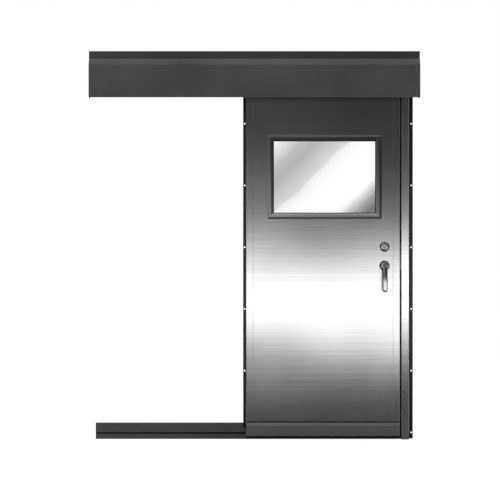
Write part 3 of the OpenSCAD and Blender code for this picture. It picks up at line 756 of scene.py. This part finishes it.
shape = bmesh.new()
circle = bmesh.ops.create_circle(shape, segments=24, radius=NECK_R, cap_ends=False)["verts"]
bmesh.ops.rotate(shape, verts=circle, matrix=Matrix.Rotation(math.radians(90), 3, "X"))
bmesh.ops.translate(shape, verts=circle, vec=(HANDLE_X, lever_high.y, HANDLE_Z))
ring = shape.edges[:]
bmesh.ops.contextual_create(shape, geom=ring)
middle = Vector((HANDLE_X, lever_high.y, HANDLE_Z))
for share, thickness in NECK_STEPS:
    ring, verts = ring_step(shape, ring)
    step = Vector((0, share * (NECK_END_Y - lever_high.y), 0))
    middle += step
    bmesh.ops.translate(shape, verts=verts, vec=step)
    scale_about(shape, verts, middle, (1, 1, thickness))
print("neck ends at", [round(v, 4) for v in middle])

# %% [markdown]
# The bends are arcs: the ring turns about each bend's middle, step by step. In the first, sharp
# bend it also grows to the grip's width, and a small turn about the vertical at every step gives
# the grip a slight twist, which moves the light along it. Below, it narrows to a rounded tip.

# %% Lever: bends, grip and tip
# A step of the tip is its drop, and its width and depth as shares of the step before.
TWIST = math.radians(-17)
TIP_STEPS = (
    (0.0055, 0.96, 0.94), (0.0035, 0.88, 0.80), (0.0018, 0.72, 0.62), (0.0008, 0.4, 0.4))
GRIP_TAPER = 0.97

outer_side = Vector((0, 0, 1))
all_steps = sum(steps for _, _, steps in BENDS)
widen = (GRIP_HALF_W / NECK_R) ** (1 / BENDS[0][2])
twist = Matrix.Rotation(TWIST / all_steps, 3, "Z")
for radius, degrees, steps in BENDS:
    turn = Matrix.Rotation(math.radians(degrees / steps), 3, "X")
    centre = middle - radius * outer_side
    for _ in range(steps):
        ring, verts = ring_step(shape, ring)
        bmesh.ops.rotate(shape, verts=verts, cent=centre, matrix=turn)
        outer_side = turn @ outer_side
        middle = centre + radius * outer_side
        scale_about(shape, verts, (HANDLE_X, 0, 0), (widen, 1, 1))
        bmesh.ops.rotate(shape, verts=verts, cent=middle, matrix=twist)
    widen = 1.0
straight = middle.z - lever_low.z - sum(drop for drop, _, _ in TIP_STEPS)
grip_steps = [(straight / 2, GRIP_TAPER, 1.0)] * 2
for drop, width, depth in (*grip_steps, *TIP_STEPS):
    ring, verts = ring_step(shape, ring)
    bmesh.ops.translate(shape, verts=verts, vec=(0, 0, -drop))
    scale_about(shape, verts, (HANDLE_X, middle.y, 0), (width, depth, 1))
bmesh.ops.contextual_create(shape, geom=ring)
lever = finished_piece("door_lever", shape, "handle", "bright_steel", sharp=60)
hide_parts("lever_handle")
smooth = lever.modifiers.new("smooth", "SUBSURF")
smooth.levels = smooth.render_levels = 2

# %% [markdown]
# ## The roses
# The two round plates behind the lever and round the lock are turned on a lathe: low domes with
# a rolled rim. Spinning a profile about the spindle's line is the same thing. The domes matter in
# the picture, because a dome shows the dark room round its edge and the light in its middle.

# %% Roses
ROSE_PLAY = 0.0001
ROSE_LAND = 0.002
ROSE_RIM = 0.0015
HOLE_EASE_R, HOLE_EASE_H = 0.0006, 0.0004
DOME_POWER = 1.5


def spun_rose(name, node, middle_z, profile):
    """Spins a profile of radius and height above the leaf's face about a line along Y."""
    shape = bmesh.new()
    points = [shape.verts.new((HANDLE_X + r, LEAF_FACE_Y - h, middle_z)) for r, h in profile]
    edges = [shape.edges.new(pair) for pair in zip(points, points[1:])]
    bmesh.ops.spin(shape, geom=points + edges, cent=(HANDLE_X, 0, middle_z), axis=(0, 1, 0),
                   angle=math.tau, steps=64, use_merge=True)
    rose = finished_piece(name, shape, "leaf", "bright_steel", sharp=50)
    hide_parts(node)


def domed_profile(hole_r, edge_r, height, steps=10):
    """Radius and height of points from the hole over a low dome to the rim."""
    land_r = hole_r + ROSE_LAND
    dome = [(hole_r, 0.0), (hole_r, height - HOLE_EASE_H), (hole_r + HOLE_EASE_R, height)]
    for step in range(steps + 1):
        u = step / steps
        fall = 1 - u ** DOME_POWER
        dome.append((land_r + (edge_r - land_r) * u, ROSE_RIM + (height - ROSE_RIM) * fall))
    return dome + [(edge_r, 0.0)]


def height_over_leaf(node):
    """How far a node stands out of the leaf's face."""
    return LEAF_FACE_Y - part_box(node)[0].y


def half_width(node):
    """Half of a node's width along X."""
    low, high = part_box(node)
    return (high.x - low.x) / 2


LOCK_Z = sum(corner.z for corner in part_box("lock_rose")) / 2
for name, node, middle_z, shaft_r in (
    ("domed_handle_rose", "handle_rose", HANDLE_Z, NECK_R),
    ("domed_lock_rose", "lock_rose", LOCK_Z, half_width("lock_barrel")),
):
    profile = domed_profile(shaft_r + ROSE_PLAY, half_width(node), height_over_leaf(node))
    spun_rose(name, node, middle_z, profile)

# %% [markdown]
# ## The sealant bead, which also paints a shade line
# Where the strip along the foot meets the leaf, a thin dark bead keeps water out. Its dark rubber
# also draws the shade line along the strip's top edge, as painted shade. It is a half buried round
# cord of sealant: a small circle that is pulled along X.

# %% Sealant bead and painted shade line
strip_low, strip_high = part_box("kick_strip")
BEAD_R = 0.004
BEAD_PROUD = 0.5
bead_start = (strip_low.x + BEAD_R, strip_high.y, strip_high.z + BEAD_R)
bead_length = strip_high.x - strip_low.x - 2 * BEAD_R

shape = bmesh.new()
circle = bmesh.ops.create_circle(shape, segments=12, radius=BEAD_R, cap_ends=True)["verts"]
bmesh.ops.rotate(shape, verts=circle, matrix=Matrix.Rotation(math.radians(90), 3, "Y"))
bmesh.ops.scale(shape, verts=circle, vec=(1, BEAD_PROUD, 1))
bmesh.ops.translate(shape, verts=circle, vec=bead_start)
made = bmesh.ops.extrude_face_region(shape, geom=shape.faces[:])["geom"]
far_end = [v for v in made if isinstance(v, bmesh.types.BMVert)]
bmesh.ops.translate(shape, verts=far_end, vec=(bead_length, 0, 0))
# Painted shade: the bead's dark rubber draws the shade line along the kick strip's top edge. It is
# also a sealant cord.
finished_piece("sealant_and_shade_bead", shape, "leaf", "seal_rubber", sharp=50)

# %% [markdown]
# ## Screws and bolts
# Small fasteners show how a door goes together: flush screws hold the glazing bead, the lock and
# the strike plate, hexagon bolts hold the hangers, and button heads hold the rail to its spacers.
# Each kind of head is turned from a cone with a bevelled rim and a pressed socket, lying on Z 0
# with its top up, and is copied to its places. The heads of one body are joined into one piece,
# because they move together.

# %% Screw heads
HEAD_TOP = 0.92
RIM_BEVEL = 0.35
TOP_FLAT = 0.9
SOCKET_DEPTH = 0.6


def screw_head(radius, height, sides=20, socket=0.45):
    """A mesh of a head whose socket takes up a share of its radius."""
    shape = bmesh.new()
    bmesh.ops.create_cone(shape, cap_ends=True, segments=sides, radius1=radius,
                          radius2=HEAD_TOP * radius, depth=height)
    bmesh.ops.translate(shape, verts=shape.verts, vec=(0, 0, height / 2))
    rim = [e for e in shape.edges if all(v.co.z > height / 2 for v in e.verts)]
    bmesh.ops.bevel(shape, geom=rim, offset=RIM_BEVEL * height, offset_type="OFFSET", segments=3,
                    profile=0.5, affect="EDGES", material=-1)
    top = max(shape.faces, key=lambda face: face.calc_center_median().z)
    bmesh.ops.inset_region(shape, faces=[top], thickness=(TOP_FLAT - socket) * radius)
    well = bmesh.ops.extrude_face_region(shape, geom=[top])["geom"]
    floor_verts = [v for v in well if isinstance(v, bmesh.types.BMVert)]
    bmesh.ops.translate(shape, verts=floor_verts, vec=(0, 0, -SOCKET_DEPTH * height))
    bmesh.ops.delete(shape, geom=[top], context="FACES_ONLY")
    mesh = bpy.data.meshes.new("screw_head")
    shape.to_mesh(mesh)
    shape.free()
    return mesh


def add_heads(shape, head, places, outwards):
    """Copies a head to places on a face that looks outwards."""
    turn = Vector((0, 0, 1)).rotation_difference(Vector(outwards)).to_matrix().to_4x4()
    for place in places:
        known = set(shape.verts)
        shape.from_mesh(head)
        added = [v for v in shape.verts if v not in known]
        bmesh.ops.transform(shape, verts=added, matrix=Matrix.Translation(place) @ turn)


def evenly(first, last, count):
    """Values spread evenly from a first one to a last one."""
    return [first + (last - first) * step / (count - 1) for step in range(count)]


def near_ends(low, high, x, margin):
    """Two places on a plate's middle line, near its lower and its upper end."""
    return [(x, (low.y + high.y) / 2, z) for z in (low.z + margin, high.z - margin)]


FLUSH = 0.0005
small_screw = screw_head(0.0032, FLUSH)
plate_screw = screw_head(0.0045, FLUSH)
button_head = screw_head(0.008, 0.004)
hex_bolt = screw_head(0.009, 0.006, sides=6, socket=0.3)
print("heads:", [len(head.polygons) for head in (small_screw, plate_screw, button_head, hex_bolt)])

# %% [markdown]
# The leaf's screws go round the glazing bead, where a fitter would open it to change the pane,
# into both ends of the lock's faceplate, and through the feet of both hangers.

# %% Screws of the leaf
bead_low, bead_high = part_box("window_bead")
BEAD_HALF = 0.005
ROW_END, COLUMN_END = 0.04, 0.06
ROW_SCREWS, COLUMN_SCREWS = 5, 3
row_x = evenly(bead_low.x + ROW_END, bead_high.x - ROW_END, ROW_SCREWS)
row_z = (bead_low.z + BEAD_HALF, bead_high.z - BEAD_HALF)
column_x = (bead_low.x + BEAD_HALF, bead_high.x - BEAD_HALF)
column_z = evenly(bead_low.z + COLUMN_END, bead_high.z - COLUMN_END, COLUMN_SCREWS)
places = [(x, bead_high.y, z) for x in row_x for z in row_z]
places += [(x, bead_high.y, z) for x in column_x for z in column_z]
shape = bmesh.new()
add_heads(shape, small_screw, places, (0, 1, 0))

FACEPLATE_END = 0.014
plate_low, plate_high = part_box("lock_faceplate")
places = near_ends(plate_low, plate_high, plate_high.x, FACEPLATE_END)
add_heads(shape, plate_screw, places, (1, 0, 0))

FOOT_T = 0.008
BOLT_ASIDE = 0.045
leaf_mid_y = (plate_low.y + plate_high.y) / 2
for node in ("left_hanger", "right_hanger"):
    low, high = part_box(node)
    middle_x = (low.x + high.x) / 2
    bolt_x = (middle_x - BOLT_ASIDE, middle_x + BOLT_ASIDE)
    places = [(x, leaf_mid_y, low.z + FOOT_T) for x in bolt_x]
    add_heads(shape, hex_bolt, places, (0, 0, 1))
finished_piece("leaf_screws", shape, "leaf", "bright_steel", sharp=40)

# %% [markdown]
# The frame's screws hold the strike plate and the track's end cap at both ends, and the rail at
# each of its spacers.

# %% Screws of the frame
STRIKE_END, CAP_END = 0.012, 0.02
shape = bmesh.new()
strike_low, strike_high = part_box("strike_plate")
places = near_ends(strike_low, strike_high, strike_low.x, STRIKE_END)
add_heads(shape, plate_screw, places, (-1, 0, 0))

cap_low, cap_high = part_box("track_end_cap")
places = near_ends(cap_low, cap_high, cap_low.x, CAP_END)
add_heads(shape, plate_screw, places, (-1, 0, 0))

SPACERS = 6
rail_low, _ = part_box("roller_rail")
spacer_low, spacer_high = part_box("rail_spacers")
spacer_r = (spacer_high.z - spacer_low.z) / 2
rail_x = evenly(spacer_low.x + spacer_r, spacer_high.x - spacer_r, SPACERS)
rail_z = (spacer_low.z + spacer_high.z) / 2
places = [(x, rail_low.y, rail_z) for x in rail_x]
add_heads(shape, button_head, places, (0, -1, 0))
finished_piece("frame_screws", shape, "frame", "bright_steel", sharp=40)
